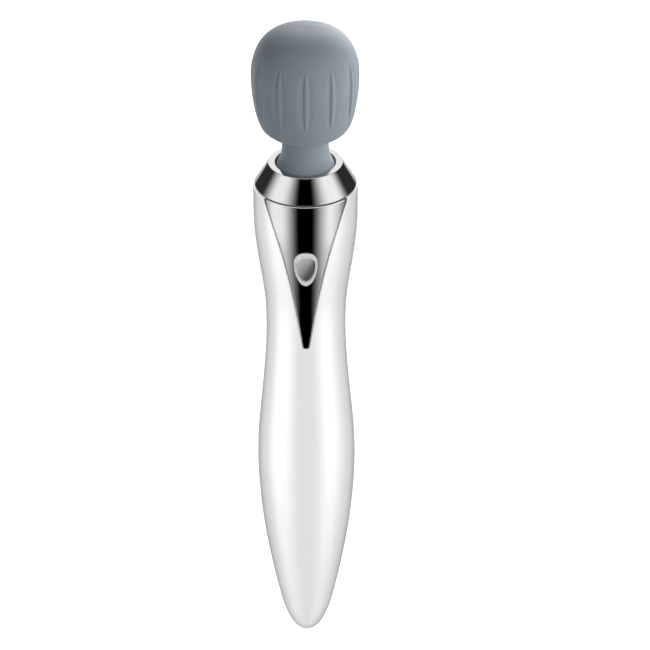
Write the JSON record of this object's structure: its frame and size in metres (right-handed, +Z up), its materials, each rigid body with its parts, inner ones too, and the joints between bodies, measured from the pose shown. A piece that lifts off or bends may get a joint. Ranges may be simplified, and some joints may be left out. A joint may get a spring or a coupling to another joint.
{
  "type": "handheld wand massager",
  "caption": "Handheld wand massager: round silicone head on a bending neck, chrome cone collar and V trim with a press button, slim waisted handle with a charging dock on its back.",
  "frame": {"origin": "on the wand's axis at the waist of the handle, where a hand closes round it", "axes": "+Z up the axis to the head's crown; the button faces -Y and the charging dock +Y"},
  "size_m": [0.04, 0.0402, 0.2683],
  "materials": {
    "white_gloss": "high gloss pearl white",
    "chrome": "mirror plated",
    "grey_silicone": "matte soft-touch silicone",
    "satin_ring": "satin silver light guide",
    "satin_cap": "satin metal",
    "inner_plastic": "moulded, unpainted",
    "black_plastic": "moulded black",
    "black_rubber": "matte rubber",
    "board_green": "solder mask",
    "led_lens": "clear lens",
    "cell_wrap": "shrink wrap",
    "gold_contact": "gold plated",
    "magnet_nickel": "nickel plated",
    "ferrite": "sintered",
    "steel": "bright",
    "brass": "turned",
    "copper": "wound and turned copper",
    "red_wire": "insulated wire",
    "black_wire": "insulated wire"
  },
  "bodies": {
    "handle": {"handle_front_shell": "white_gloss", "handle_rear_shell": "white_gloss", "collar_ring": "chrome", "trim_panel": "chrome", "button_ring": "satin_ring", "neck_socket": "inner_plastic", "circuit_board": "board_green", "switch_body": "black_plastic", "status_led": "led_lens", "battery_cell": "cell_wrap", "battery_holder": "black_plastic", "charge_plate": "white_gloss", "charge_contact_left": "gold_contact", "charge_contact_right": "gold_contact", "charge_magnet_upper": "magnet_nickel", "charge_magnet_lower": "magnet_nickel", "screw_upper_left": "steel", "screw_upper_right": "steel", "screw_lower": "steel", "battery_lead_red": "red_wire", "battery_lead_black": "black_wire", "charge_lead_red": "red_wire", "charge_lead_black": "black_wire"},
    "neck": {"neck_sleeve": "grey_silicone", "neck_coupling": "black_rubber", "motor_lead_red": "red_wire", "motor_lead_black": "black_wire"},
    "head": {"head_sleeve": "grey_silicone", "head_shell_lower": "inner_plastic", "head_shell_upper": "inner_plastic", "motor_can": "steel", "motor_end_cap": "black_plastic", "motor_bush": "brass", "motor_magnet_left": "ferrite", "motor_magnet_right": "ferrite", "motor_brush_left": "copper", "motor_brush_right": "copper", "motor_damper": "black_rubber"},
    "rotor": {"motor_shaft": "steel", "commutator": "copper", "rotor_core": "copper", "eccentric_weight": "brass"},
    "button": {"button_cap": "satin_cap"},
    "plunger": {"switch_plunger": "inner_plastic"}
  },
  "joints": [
    {"name": "neck_bend_front", "type": "hinge", "parent": "handle", "child": "neck", "pos_m": [0, 0, 0.073], "axis": [1, 0, 0], "range_deg": [-20, 20], "stiffness_Nm_per_rad": 2, "deforming": ["neck_sleeve", "neck_coupling", "motor_lead_red", "motor_lead_black"]},
    {"name": "neck_bend_side", "type": "hinge", "parent": "neck", "child": "head", "pos_m": [0, 0, 0.073], "axis": [0, 1, 0], "range_deg": [-20, 20], "stiffness_Nm_per_rad": 2, "deforming": ["neck_sleeve", "neck_coupling", "motor_lead_red", "motor_lead_black"]},
    {"name": "rotor_spin", "type": "hinge", "parent": "head", "child": "rotor", "pos_m": [0, 0, 0.09], "axis": [0, 0, 1], "continuous": true},
    {"name": "button_press", "type": "slide", "parent": "handle", "child": "button", "axis": [0, 1, 0], "range_m": [0, 0.0006], "stiffness_N_per_m": 800, "springref_m": -0.001},
    {"name": "plunger_press", "type": "slide", "parent": "handle", "child": "plunger", "axis": [0, 1, 0], "range_m": [0, 0.0006]}
  ],
  "couplings": [
    {"joint": "plunger_press", "follows": "button_press", "ratio": 1}
  ]
}
